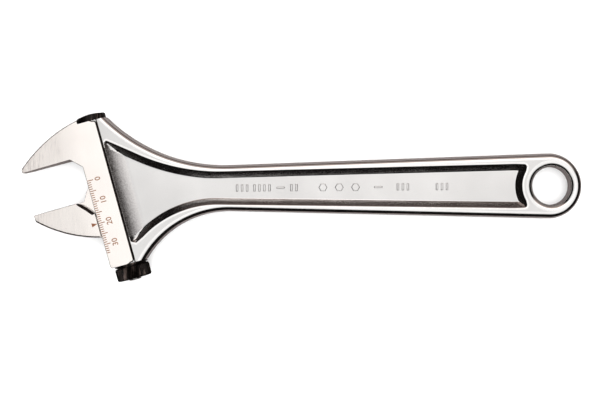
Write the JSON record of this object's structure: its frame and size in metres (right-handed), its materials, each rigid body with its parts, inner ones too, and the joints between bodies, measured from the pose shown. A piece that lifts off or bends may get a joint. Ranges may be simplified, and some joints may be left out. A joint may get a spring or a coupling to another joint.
{
  "type": "adjustable wrench",
  "caption": "Adjustable wrench with a side nut: forged recessed handle with hanging hole, tilted head with millimetre scale, fixed jaw and sliding jaw.",
  "frame": {"origin": "centre of the hanging hole, at mid thickness", "axes": "+X along the handle from the jaws to the hanging hole, +Y towards the fixed jaw's side, +Z out of one broad face, along the hole"},
  "size_m": [0.2577, 0.0785, 0.016],
  "materials": {
    "forged_chrome": "satin chrome plate, polished rims",
    "ground_steel": "ground and polished",
    "screw_steel": "machined",
    "black_steel": "black oxide",
    "scale_ink": "etched and filled"
  },
  "bodies": {
    "body": {"wrench_body": "forged_chrome", "flange_bush": "black_steel", "bush_pin": "screw_steel", "thrust_washer": "black_steel", "spring_washer": "screw_steel", "top_cap": "black_steel"},
    "screw": {"adjusting_spindle": "screw_steel", "side_nut": "black_steel", "nut_pin": "screw_steel"},
    "jaw": {"moving_jaw": "ground_steel"}
  },
  "joints": [
    {"name": "nut_turn", "type": "hinge", "parent": "body", "child": "screw", "pos_m": [-0.19285, -0.03826, 0], "axis": [-0.2588, 0.9659, 0], "range_deg": [-2872.8, 2016]},
    {"name": "jaw_slide", "type": "slide", "parent": "body", "child": "jaw", "axis": [0.2588, -0.9659, 0], "range_m": [-0.01996, 0.01401]}
  ],
  "couplings": [
    {"joint": "jaw_slide", "follows": "nut_turn", "m_per_rad": 0.00039789}
  ]
}
